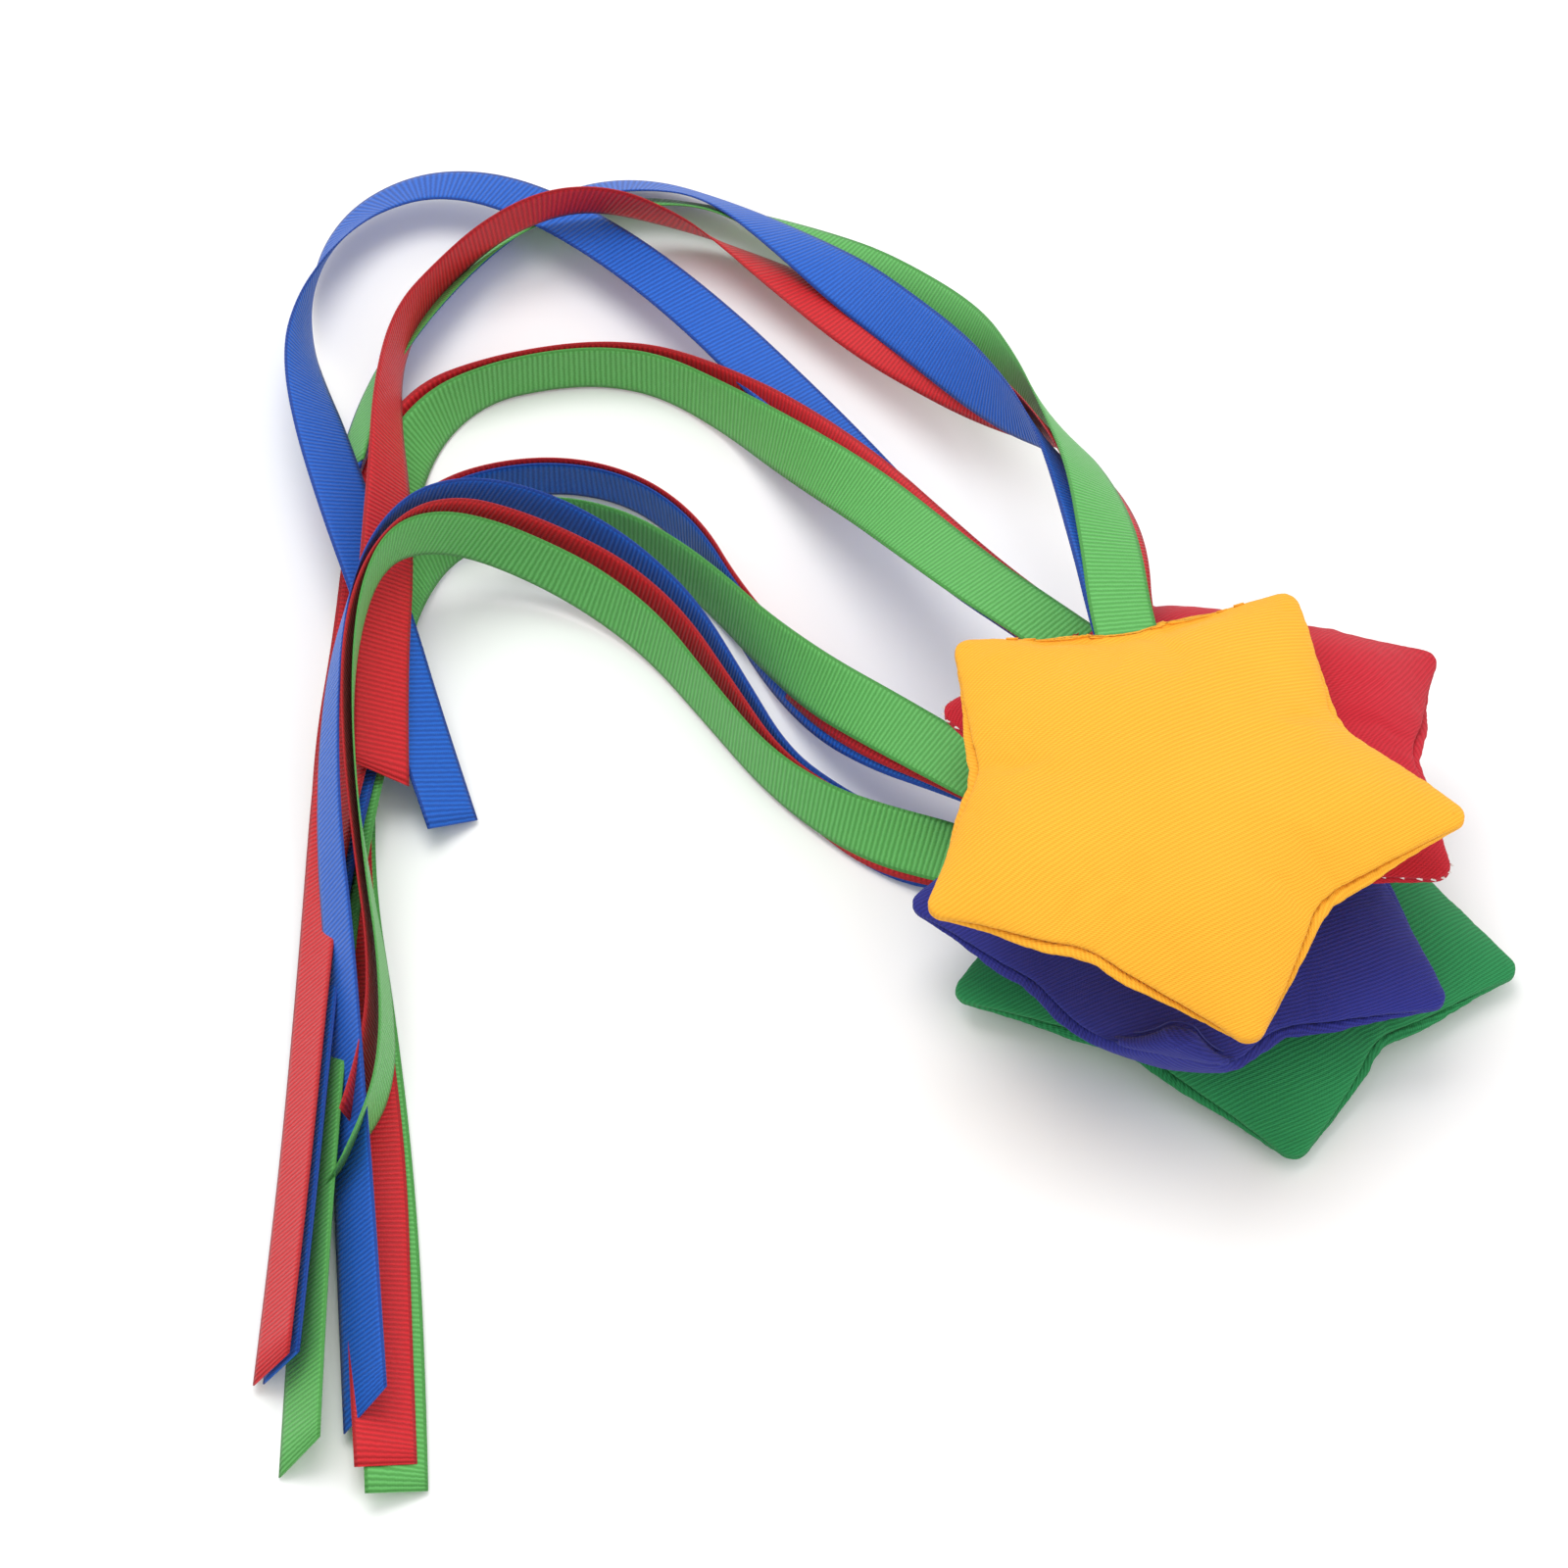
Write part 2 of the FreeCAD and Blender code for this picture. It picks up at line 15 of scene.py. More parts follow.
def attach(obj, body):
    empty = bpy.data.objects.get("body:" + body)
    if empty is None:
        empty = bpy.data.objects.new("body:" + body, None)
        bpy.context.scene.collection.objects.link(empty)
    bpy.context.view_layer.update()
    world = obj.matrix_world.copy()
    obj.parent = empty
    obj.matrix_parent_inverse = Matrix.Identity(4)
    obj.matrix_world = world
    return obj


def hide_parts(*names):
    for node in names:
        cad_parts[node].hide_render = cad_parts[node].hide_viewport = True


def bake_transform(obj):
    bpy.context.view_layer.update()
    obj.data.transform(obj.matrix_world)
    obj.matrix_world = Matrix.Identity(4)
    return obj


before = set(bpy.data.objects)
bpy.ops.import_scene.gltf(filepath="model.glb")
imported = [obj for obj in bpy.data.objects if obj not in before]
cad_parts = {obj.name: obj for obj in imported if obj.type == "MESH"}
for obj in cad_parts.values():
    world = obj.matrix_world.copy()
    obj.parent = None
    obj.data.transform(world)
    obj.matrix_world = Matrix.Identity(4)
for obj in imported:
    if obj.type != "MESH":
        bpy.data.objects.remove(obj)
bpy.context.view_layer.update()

# ---------------------------------------------------------------- sizes, in metres
STAR = 0.055                    # centre to the end of a point
NOTCH = 0.038                   # centre to the middle of a side
POINT_ROUND = 0.004
HOLLOW_ROUND = 0.020            # radius of the hollow in the middle of a side
POINTS = 5
HALF_BAG = 0.0075               # half a bag's thickness
CLOTH = 0.0006
RIBBON_WIDTH = 0.012
RIBBON_THICKNESS = 0.00035
EDGE_THICKNESS = 0.8            # share of the thickness left at a ribbon's edges
RIB_PITCH = 0.0011              # from one cross rib of the grosgrain to the next
TWILL_PITCH = 0.00078
OUTLINE_SPACING = 0.0016        # between the points of a star's outline
STEP = math.pi / POINTS

# Bags from the table up: centre in plan, turn about Z in degrees, seam height, and the side that
# the streamers leave by, counted from the first point.
BAGS = {
    "green": {"centre": (0.006, 0.002), "turn": 58.8, "seam": 0.0075, "side": 1.5},
    "blue": {"centre": (-0.002, -0.003), "turn": 40.0, "seam": 0.0231, "side": 1.5},
    "red": {"centre": (0.001, 0.0195), "turn": 29.1, "seam": 0.0387, "side": 1.5},
    "yellow": {"centre": (-0.0075, -0.008), "turn": 64.9, "seam": 0.0543, "side": 0.5},
}
STACK = ["green", "blue", "red", "yellow"]

# Each streamer's route: x, y, z of its middle line, and its roll in degrees. The points are the
# CAD's, moved where the streamers cross.
ROUTES = {
    "yellow_ribbon_green": [
        (-0.0135, 0.0234, 0.0547, 0), (-0.0158, 0.0352, 0.0547, 0), (-0.017, 0.055, 0.0538, 8),
        (-0.0195, 0.078, 0.048, 34), (-0.0245, 0.101, 0.0385, 52), (-0.0325, 0.124, 0.027, 95),
        (-0.0433, 0.1498, 0.017, 135), (-0.058, 0.17, 0.0095, 150), (-0.0765, 0.1866, 0.0066, 196),
        (-0.094, 0.197, 0.006, 224), (-0.112, 0.2, 0.0048, 215), (-0.128, 0.197, 0.0052, 214),
        (-0.142, 0.187, 0.0058, 219), (-0.154, 0.169, 0.006, 224), (-0.163, 0.15, 0.0062, 231),
        (-0.1675, 0.134, 0.0062, 235), (-0.1695, 0.12, 0.0062, 234),
    ],
    "yellow_ribbon_red": [
        (-0.0135, 0.0234, 0.0543, 0), (-0.0158, 0.0352, 0.0543, 0), (-0.0155, 0.0555, 0.0525, 8),
        (-0.0185, 0.0785, 0.0462, 34), (-0.0255, 0.1, 0.0378, 56), (-0.0355, 0.1178, 0.027, 100),
        (-0.0475, 0.1365, 0.0172, 140), (-0.061, 0.1532, 0.0106, 164), (-0.077, 0.1712, 0.0075, 196),
        (-0.093, 0.185, 0.007, 228), (-0.106, 0.189, 0.011, 242), (-0.119, 0.188, 0.0172, 250),
        (-0.131, 0.185, 0.0183, 256), (-0.143, 0.179, 0.0155, 259), (-0.154, 0.168, 0.0115, 267),
        (-0.1605, 0.151, 0.014, 280), (-0.1615, 0.1275, 0.0186, 294), (-0.16, 0.104, 0.0195, 312),
        (-0.1595, 0.081, 0.019, 330), (-0.16, 0.056, 0.016, 333), (-0.159, 0.033, 0.0115, 334),
    ],
    "yellow_ribbon_blue": [
        (-0.0135, 0.0234, 0.0539, 0), (-0.0158, 0.0352, 0.0539, 0), (-0.0185, 0.056, 0.051, 10),
        (-0.0225, 0.079, 0.0442, 36), (-0.0275, 0.099, 0.0378, 60), (-0.037, 0.1182, 0.0285, 105),
        (-0.048, 0.141, 0.0195, 138), (-0.061, 0.162, 0.0125, 150), (-0.077, 0.1822, 0.0088, 196),
        (-0.094, 0.199, 0.0062, 224), (-0.111, 0.2055, 0.0048, 212), (-0.126, 0.2025, 0.0044, 210),
        (-0.1415, 0.1885, 0.0044, 219), (-0.1545, 0.1695, 0.0046, 224), (-0.1634, 0.1503, 0.0049, 231),
        (-0.168, 0.134, 0.0051, 235), (-0.1702, 0.1185, 0.0051, 234),
    ],
    "red_ribbon_green": [
        (-0.0224, 0.0413, 0.0391, 0), (-0.0312, 0.0495, 0.0391, 0), (-0.042, 0.062, 0.036, -6),
        (-0.053, 0.079, 0.03, -15), (-0.064, 0.098, 0.022, -32), (-0.08, 0.121, 0.012, -60),
        (-0.092, 0.136, 0.007, -78), (-0.105, 0.146, 0.0063, -86), (-0.117, 0.149, 0.0063, -92),
        (-0.129, 0.148, 0.0063, -93), (-0.142, 0.144, 0.0063, -92), (-0.153, 0.135, 0.0058, -64),
        (-0.1595, 0.121, 0.0044, -40), (-0.1625, 0.102, 0.0023, -14), (-0.1635, 0.077, 0.0011, -4),
        (-0.167, 0.048, 0.0008, 0), (-0.166, 0.014, 0.0009, 0), (-0.1602, -0.02, 0.0008, 0),
        (-0.1552, -0.057, 0.0011, -2), (-0.1516, -0.096, 0.0021, -12), (-0.1494, -0.128, 0.003, -22),
    ],
    "red_ribbon_red": [
        (-0.0224, 0.0413, 0.0387, 0), (-0.0312, 0.0495, 0.0387, 0), (-0.0415, 0.063, 0.035, -8),
        (-0.052, 0.081, 0.0288, -18), (-0.063, 0.102, 0.0208, -36), (-0.079, 0.1265, 0.0118, -62),
        (-0.092, 0.141, 0.007, -80), (-0.105, 0.1487, 0.0063, -87), (-0.117, 0.1507, 0.0063, -92),
        (-0.129, 0.1495, 0.0063, -93), (-0.143, 0.1455, 0.0063, -92), (-0.155, 0.137, 0.0058, -64),
        (-0.161, 0.123, 0.0046, -40), (-0.164, 0.103, 0.0032, -14), (-0.165, 0.077, 0.0022, -4),
        (-0.1675, 0.048, 0.0017, 0), (-0.1668, 0.014, 0.0018, 0), (-0.1615, -0.02, 0.0017, 0),
        (-0.1565, -0.056, 0.002, -2), (-0.154, -0.094, 0.0031, -12), (-0.1515, -0.123, 0.004, -22),
    ],
    "red_ribbon_blue": [
        (-0.0224, 0.0413, 0.0383, 0), (-0.0312, 0.0495, 0.0383, 0), (-0.042, 0.0655, 0.0312, 0),
        (-0.0535, 0.0872, 0.0225, -8), (-0.0665, 0.1142, 0.0145, -12), (-0.081, 0.137, 0.0122, -4),
        (-0.097, 0.16, 0.0105, 3), (-0.114, 0.179, 0.01, 5), (-0.13, 0.192, 0.0099, 8),
        (-0.144, 0.2, 0.009, 11), (-0.157, 0.202, 0.0076, 17), (-0.168, 0.197, 0.0066, 28),
        (-0.175, 0.188, 0.0062, 46), (-0.179, 0.176, 0.0064, 72), (-0.181, 0.16, 0.0082, 104),
        (-0.18, 0.143, 0.012, 132), (-0.175, 0.122, 0.0145, 155), (-0.168, 0.098, 0.015, 160),
        (-0.16, 0.074, 0.0136, 160), (-0.153, 0.051, 0.008, 158), (-0.145, 0.027, 0.0032, 154),
    ],
    "blue_ribbon_green": [
        (-0.0291, 0.014, 0.0235, 0), (-0.0393, 0.0203, 0.0235, -4), (-0.0495, 0.0295, 0.022, -16),
        (-0.061, 0.041, 0.0186, -30), (-0.073, 0.054, 0.014, -50), (-0.084, 0.07, 0.009, -70),
        (-0.093, 0.084, 0.0066, -78), (-0.102, 0.094, 0.0063, -83), (-0.112, 0.102, 0.0063, -88),
        (-0.124, 0.1065, 0.0063, -92), (-0.137, 0.106, 0.0064, -92), (-0.149, 0.1, 0.0064, -76),
        (-0.157, 0.088, 0.0065, -47), (-0.1605, 0.072, 0.0076, -34), (-0.163, 0.05, 0.0074, 0),
        (-0.1655, 0.022, 0.0064, 30), (-0.1662, -0.008, 0.0056, 48), (-0.1666, -0.044, 0.0053, 52),
        (-0.1673, -0.082, 0.0052, 52), (-0.167, -0.122, 0.0051, 50),
    ],
    "blue_ribbon_red": [
        (-0.0291, 0.014, 0.0231, 0), (-0.0393, 0.0203, 0.0231, -4), (-0.0485, 0.029, 0.0202, -12),
        (-0.0605, 0.0395, 0.0162, -28), (-0.072, 0.0525, 0.0118, -50), (-0.083, 0.0685, 0.008, -72),
        (-0.0905, 0.084, 0.0064, -82), (-0.096, 0.098, 0.0062, -88), (-0.104, 0.109, 0.0062, -96),
        (-0.114, 0.116, 0.0062, -102), (-0.126, 0.119, 0.0062, -103), (-0.139, 0.117, 0.0063, -98),
        (-0.15, 0.11, 0.0064, -78), (-0.158, 0.098, 0.0064, -48), (-0.161, 0.083, 0.0068, -38),
        (-0.1642, 0.063, 0.0084, -8), (-0.1672, 0.038, 0.0086, 25), (-0.1692, 0.01, 0.0078, 48),
        (-0.1702, -0.023, 0.0072, 54), (-0.1712, -0.064, 0.0068, 55), (-0.173, -0.104, 0.0066, 54),
    ],
    "blue_ribbon_blue": [
        (-0.0291, 0.014, 0.0227, 0), (-0.0393, 0.0203, 0.0227, -4), (-0.0485, 0.0285, 0.019, -12),
        (-0.0605, 0.0385, 0.0146, -28), (-0.072, 0.0508, 0.0102, -50), (-0.083, 0.0672, 0.007, -72),
        (-0.0905, 0.0822, 0.0062, -82), (-0.0965, 0.0965, 0.0061, -88), (-0.1042, 0.1075, 0.0061, -96),
        (-0.114, 0.1147, 0.006, -102), (-0.126, 0.1176, 0.006, -103), (-0.1386, 0.1157, 0.0061, -98),
        (-0.149, 0.109, 0.0062, -78), (-0.1566, 0.0965, 0.006, -50), (-0.16, 0.08, 0.0061, -38),
        (-0.163, 0.06, 0.0066, -10), (-0.166, 0.035, 0.0068, 22), (-0.1678, 0.008, 0.0066, 46),
        (-0.1688, -0.026, 0.0062, 53), (-0.1698, -0.066, 0.0058, 55), (-0.1713, -0.103, 0.0056, 54),
    ],
    "green_ribbon_green": [
        (-0.0252, 0.0093, 0.0079, 0), (-0.0368, 0.012, 0.0079, -4), (-0.049, 0.0165, 0.0076, -28),
        (-0.061, 0.021, 0.0072, -52), (-0.072, 0.0275, 0.0068, -74), (-0.084, 0.039, 0.0065, -84),
        (-0.095, 0.056, 0.0064, -82), (-0.106, 0.073, 0.0066, -76), (-0.118, 0.084, 0.008, -76),
        (-0.13, 0.089, 0.012, -84), (-0.142, 0.0895, 0.0185, -93), (-0.152, 0.085, 0.025, -96),
        (-0.159, 0.077, 0.0288, -94), (-0.163, 0.065, 0.0282, -92), (-0.1645, 0.048, 0.0254, -93),
        (-0.1635, 0.027, 0.0205, -92), (-0.16, 0.005, 0.0138, -84), (-0.156, -0.016, 0.0102, -80),
        (-0.1545, -0.038, 0.0092, -78), (-0.159, -0.054, 0.0105, -96),
        (-0.1632, -0.063, 0.0118, -108),
    ],
    "green_ribbon_red": [
        (-0.0252, 0.0093, 0.0075, 0), (-0.0368, 0.012, 0.0075, -4), (-0.0495, 0.0168, 0.0054, -26),
        (-0.061, 0.0208, 0.0054, -50), (-0.0715, 0.0278, 0.0062, -74), (-0.082, 0.0385, 0.0063, -81),
        (-0.0915, 0.0565, 0.0063, -79), (-0.1015, 0.0745, 0.0065, -75),
        (-0.113, 0.0865, 0.0078, -76), (-0.125, 0.092, 0.0115, -84), (-0.137, 0.093, 0.0178, -93),
        (-0.1475, 0.09, 0.0242, -98), (-0.156, 0.0825, 0.0284, -97), (-0.1625, 0.07, 0.0288, -90),
        (-0.1655, 0.054, 0.027, -84), (-0.1652, 0.034, 0.022, -82), (-0.162, 0.01, 0.0145, -80),
        (-0.158, -0.013, 0.01, -78), (-0.1576, -0.034, 0.009, -77), (-0.161, -0.05, 0.009, -76),
    ],
    "green_ribbon_blue": [
        (-0.0252, 0.0093, 0.0071, 0), (-0.0368, 0.012, 0.0071, -4), (-0.0495, 0.0166, 0.0044, -26),
        (-0.0605, 0.0205, 0.005, -50), (-0.071, 0.0288, 0.0062, -74), (-0.08, 0.0385, 0.0063, -81),
        (-0.0885, 0.0565, 0.0063, -79), (-0.0985, 0.077, 0.0065, -75), (-0.11, 0.091, 0.0076, -78),
        (-0.122, 0.0985, 0.0112, -86), (-0.134, 0.0995, 0.0174, -94), (-0.1455, 0.096, 0.0236, -97),
        (-0.1555, 0.088, 0.028, -98), (-0.163, 0.075, 0.0292, -100), (-0.1672, 0.06, 0.027, -105),
        (-0.1688, 0.04, 0.0228, -111), (-0.168, 0.014, 0.0172, -115), (-0.165, -0.01, 0.0132, -119),
        (-0.1622, -0.04, 0.0098, -124), (-0.1592, -0.072, 0.0076, -130), (-0.1555, -0.113, 0.0068, -134),
    ],
}

# ---------------------------------------------------------------- camera
def make_camera():
    data = bpy.data.cameras.new("camera")
    data.lens = 133.26
    data.sensor_width = 36
    camera = bpy.data.objects.new("camera", data)
    camera.location = (-0.080, -0.6992, 0.8810)
    camera.rotation_euler = (math.radians(40), 0, 0)
    bpy.context.collection.objects.link(camera)
    bpy.context.scene.camera = camera


# ---------------------------------------------------------------- materials
def node(tree, kind, **values):
    made = tree.nodes.new(kind)
    for key, value in values.items():
        setattr(made, key, value)
    return made


def math_node(tree, operation, first, second=None):
    made = node(tree, "ShaderNodeMath", operation=operation)
    for socket, value in zip(made.inputs, (first, second)):
        if value is None:
            continue
        if isinstance(value, (int, float)):
            socket.default_value = value
        else:
            tree.links.new(value, socket)
    return made.outputs[0]


def mix_colours(tree, factor, first, second):
    mix = node(tree, "ShaderNodeMix", data_type="RGBA")
    tree.links.new(factor, mix.inputs["Factor"])
    for socket, value in ((mix.inputs[6], first), (mix.inputs[7], second)):
        if isinstance(value, tuple):
            socket.default_value = (*value, 1)
        else:
            tree.links.new(value, socket)
    return mix.outputs[2]


def noise(tree, vector, scale, detail=2.0):
    made = node(tree, "ShaderNodeTexNoise")
    made.inputs["Scale"].default_value = scale
    made.inputs["Detail"].default_value = detail
    tree.links.new(vector, made.inputs["Vector"])
    return made.outputs["Fac"]


def cloth_material(name, roughness, sheen):
    material = bpy.data.materials.new(name)
    material.use_nodes = True
    tree = material.node_tree
    shader = tree.nodes["Principled BSDF"]
    shader.inputs["Roughness"].default_value = roughness
    shader.inputs["Specular IOR Level"].default_value = 0.25
    shader.inputs["Sheen Weight"].default_value = sheen
    shader.inputs["Sheen Roughness"].default_value = 0.5
    uv = node(tree, "ShaderNodeUVMap", uv_map="cloth")
    split = node(tree, "ShaderNodeSeparateXYZ")
    tree.links.new(uv.outputs["UV"], split.inputs[0])
    return material, tree, shader, uv.outputs["UV"], split.outputs[0], split.outputs[1]


def bump(tree, shader, height, depth):
    made = node(tree, "ShaderNodeBump")
    made.inputs["Strength"].default_value = 1.0
    made.inputs["Distance"].default_value = depth
    tree.links.new(height, made.inputs["Height"])
    tree.links.new(made.outputs["Normal"], shader.inputs["Normal"])


def ribs(tree, along, pitch):
    """A rounded rib profile, 0 in the grooves and 1 on the ribs."""
    wave = math_node(tree, "SINE", math_node(tree, "MULTIPLY", along, 2 * math.pi / pitch))
    return math_node(tree, "ADD", math_node(tree, "MULTIPLY", wave, 0.5), 0.5)


def grosgrain(name, light, dark, edge):
    material, tree, shader, uv, along, across = cloth_material(name, 0.5, 0.06)
    wobble = math_node(tree, "MULTIPLY", noise(tree, uv, 900.0), 0.0003)
    rib = ribs(tree, math_node(tree, "ADD", along, wobble), RIB_PITCH)
    threads = ribs(tree, across, 0.0005)
    # The colour darkens from the ribs into the grooves between them: painted shade in the grooves, on
    # top of the bump.
    colour = mix_colours(tree, rib, dark, light)
    selvedge = math_node(tree, "GREATER_THAN", math_node(tree, "ABSOLUTE", across), 0.0054)
    colour = mix_colours(tree, selvedge, colour, edge)
    tree.links.new(colour, shader.inputs["Base Color"])
    height = math_node(tree, "ADD", rib, math_node(tree, "MULTIPLY", threads, 0.15))
    bump(tree, shader, height, 0.00016)
    return material


def twill(name, light, dark, rib_angle):
    """A diagonal rib of threads, drawn on the flat panel before it is sewn."""
    material, tree, shader, uv, x, y = cloth_material(name, 0.8, 0.06)
    angle = math.radians(rib_angle)
    across = math_node(
        tree, "ADD",
        math_node(tree, "MULTIPLY", x, -math.sin(angle)),
        math_node(tree, "MULTIPLY", y, math.cos(angle)),
    )
    along = math_node(
        tree, "ADD",
        math_node(tree, "MULTIPLY", x, math.cos(angle)),
        math_node(tree, "MULTIPLY", y, math.sin(angle)),
    )
    wobble = math_node(tree, "MULTIPLY", noise(tree, uv, 140.0), 0.0005)
    across = math_node(tree, "ADD", across, wobble)
    rib = ribs(tree, across, TWILL_PITCH)
    slant = math_node(tree, "ADD", along, math_node(tree, "MULTIPLY", across, 0.8))
    threads = ribs(tree, slant, TWILL_PITCH * 0.62)
    weave = math_node(
        tree, "ADD",
        math_node(tree, "MULTIPLY", rib, 0.6),
        math_node(tree, "MULTIPLY", threads, 0.4),
    )
    patches = math_node(tree, "MULTIPLY", noise(tree, uv, 45.0, 4.0), 0.3)
    # The colour darkens into the grooves between the ribs and threads: painted shade. The noise patches
    # add tone that differs at random.
    groove_shade_and_patches = math_node(tree, "ADD", math_node(tree, "MULTIPLY", weave, 0.8), patches)
    tree.links.new(mix_colours(tree, groove_shade_and_patches, dark, light), shader.inputs["Base Color"])
    bump(tree, shader, weave, 0.00014)
    return material


def plain(name, colour, roughness):
    material = bpy.data.materials.new(name)
    material.use_nodes = True
    shader = material.node_tree.nodes["Principled BSDF"]
    shader.inputs["Base Color"].default_value = (*colour, 1)
    shader.inputs["Roughness"].default_value = roughness
    return material


def make_materials():
    return {
        "green_grosgrain": grosgrain(
            "green_grosgrain", (0.13, 0.47, 0.12), (0.07, 0.31, 0.06), (0.07, 0.30, 0.06)
        ),
        "red_grosgrain": grosgrain(
            "red_grosgrain", (0.66, 0.016, 0.024), (0.42, 0.008, 0.012), (0.40, 0.01, 0.015)
        ),
        "blue_grosgrain": grosgrain(
            "blue_grosgrain", (0.014, 0.13, 0.60), (0.006, 0.07, 0.37), (0.006, 0.05, 0.30)
        ),
        "green_twill": twill("green_twill", (0.03, 0.31, 0.10), (0.008, 0.15, 0.04), 31 - 58.8),
        "blue_twill": twill("blue_twill", (0.032, 0.038, 0.31), (0.012, 0.014, 0.14), 20 - 40.0),
        "red_twill": twill("red_twill", (0.62, 0.016, 0.036), (0.36, 0.006, 0.014), 50 - 29.1),
        "yellow_twill": twill("yellow_twill", (0.97, 0.48, 0.036), (0.80, 0.32, 0.014), 31 - 64.9),
        "green_thread": plain("green_thread", (0.012, 0.20, 0.06), 0.6),
        "blue_thread": plain("blue_thread", (0.015, 0.02, 0.20), 0.6),
        "red_thread": plain("red_thread", (0.85, 0.78, 0.76), 0.6),
        "yellow_thread": plain("yellow_thread", (0.88, 0.36, 0.015), 0.6),
        "pellets": plain("pellets", (0.86, 0.86, 0.84), 0.4),
    }


# ---------------------------------------------------------------- streamers
def nurbs_line(points):
    """Points along the smooth curve that has the given points as its control points."""
    data = bpy.data.curves.new("route", "CURVE")
    data.dimensions = "3D"
    data.resolution_u = 10
    spline = data.splines.new("NURBS")
    spline.points.add(len(points) - 1)
    for point, place in zip(spline.points, points):
        point.co = (*place, 1)
    spline.order_u = 3
    spline.use_endpoint_u = True
    holder = bpy.data.objects.new("route", data)
    mesh = bpy.data.meshes.new_from_object(holder)
    line = np.array([v.co for v in mesh.vertices])
    bpy.data.objects.remove(holder)
    bpy.data.curves.remove(data)
    bpy.data.meshes.remove(mesh)
    return line


def unit(vectors):
    return vectors / np.linalg.norm(vectors, axis=-1, keepdims=True)


def ribbon_frames(route):
    """The middle line of a ribbon, with the directions along it, across it and through it."""
    places = np.array([p[:3] for p in route])
    rolls = np.radians([p[3] for p in route])[:, None]
    ways = unit(np.gradient(places, axis=0))
    level = unit(np.cross((0, 0, 1), ways))
    rise = np.cross(ways, level)
    across = level * np.cos(rolls) + rise * np.sin(rolls)
    line = nurbs_line(places)
    beside = nurbs_line(places + across * RIBBON_WIDTH)
    along = unit(np.gradient(line, axis=0))
    across = beside - line
    across = unit(across - along * np.sum(across * along, axis=1, keepdims=True))
    return line, along, across, np.cross(along, across)


def make_ribbon(name, route, material, end_cut):
    line, along, across, through = ribbon_frames(route)
    lengths = np.concatenate([[0], np.cumsum(np.linalg.norm(np.diff(line, axis=0), axis=1))])
    steps = np.linspace(-1, 1, 9)
    verts, uvs = [], []
    count = len(line)
    for i in range(count):
        for side in (1, -1):
            for step in steps * side:
                place = line[i] + across[i] * (step * RIBBON_WIDTH / 2)
                thick = 1 if abs(step) < 0.9 else EDGE_THICKNESS
                place = place + through[i] * (side * RIBBON_THICKNESS / 2 * thick)
                if i == count - 1:
                    place = place + along[i] * (end_cut * step)
                verts.append(place)
                uvs.append((lengths[i], step * RIBBON_WIDTH / 2))
    ring = 2 * len(steps)
    faces = []
    for i in range(count - 1):
        for k in range(ring):
            n = (k + 1) % ring
            faces.append((i * ring + k, i * ring + n, (i + 1) * ring + n, (i + 1) * ring + k))
    last = (count - 1) * ring
    faces.append(tuple(range(ring - 1, -1, -1)))
    faces.append(tuple(range(last, last + ring)))
    ribbon = mesh_object(name, verts, faces, material, uvs)
    return ribbon, line, float(lengths[-1])


def mesh_object(name, verts, faces, material, uvs=None):
    mesh = bpy.data.meshes.new(name)
    mesh.from_pydata([tuple(v) for v in verts], [], faces)
    if uvs is not None:
        layer = mesh.uv_layers.new(name="cloth")
        corners = np.zeros(len(mesh.loops), np.int32)
        mesh.loops.foreach_get("vertex_index", corners)
        layer.data.foreach_set("uv", np.array(uvs, np.float32)[corners].ravel())
    if material:
        mesh.materials.append(material)
    mesh.polygons.foreach_set("use_smooth", [True] * len(mesh.polygons))
    made = bpy.data.objects.new(name, mesh)
    bpy.context.collection.objects.link(made)
    return made


# How far the cut end of a streamer slants, in metres: from its middle to its left edge.
END_CUTS = {
    "yellow_ribbon_red": 0.0015, "red_ribbon_blue": 0.001, "green_ribbon_blue": 0.002,
    "green_ribbon_green": 0.0014, "blue_ribbon_red": -0.0005, "blue_ribbon_blue": -0.0005,
}
USUAL_CUT = -0.0014


def add_streamers(materials):
    for name, route in ROUTES.items():
        bag, colour = name.split("_ribbon_")
        slot = f"{colour}_grosgrain"
        end_cut = END_CUTS.get(name, USUAL_CUT)
        ribbon, line, length = make_ribbon(f"{name}_cloth", route, materials[slot], end_cut)
        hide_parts(name)
        below = STACK[STACK.index(bag) - 1] if bag != "green" else None
        if below:
            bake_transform(ribbon)
        else:
            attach(ribbon, "green_bag")


# ---------------------------------------------------------------- the star outline
def star_outline(inset=0.0, spacing=OUTLINE_SPACING):
    """Points round the flat star moved in by inset: round points, straight edges, round hollows."""
    tip = max(POINT_ROUND - inset, 0.0004)
    arm = STAR - inset - tip
    hollow = HOLLOW_ROUND + inset
    outside = NOTCH + HOLLOW_ROUND
    across, along = arm * math.sin(STEP), arm * math.cos(STEP) - outside
    apart = math.hypot(across, along)
    half_angle = math.pi - math.atan2(across, along) - math.acos((tip + hollow) / apart)
    half_end = STEP + half_angle
    places = []
    for i in range(POINTS):
        point_at = 2 * STEP * i
        side_at = point_at + STEP
        end = arm * direction(point_at)
        next_end = arm * direction(point_at + 2 * STEP)
        middle = outside * direction(side_at)
        facing = side_at + math.pi
        places += arc_points(end, tip, point_at - half_end, point_at + half_end, 8)
        places += edge_points(
            end + tip * direction(point_at + half_end),
            middle + hollow * direction(facing + half_angle), spacing
        )
        places += arc_points(middle, hollow, facing + half_angle, facing - half_angle, 7)
        places += edge_points(
            middle + hollow * direction(facing - half_angle),
            next_end + tip * direction(point_at + 2 * STEP - half_end), spacing
        )
    return np.array(places)


def direction(angle):
    return np.array([math.cos(angle), math.sin(angle)])


def arc_points(centre, radius, start, end, count):
    return [centre + radius * direction(start + (end - start) * k / count) for k in range(count)]


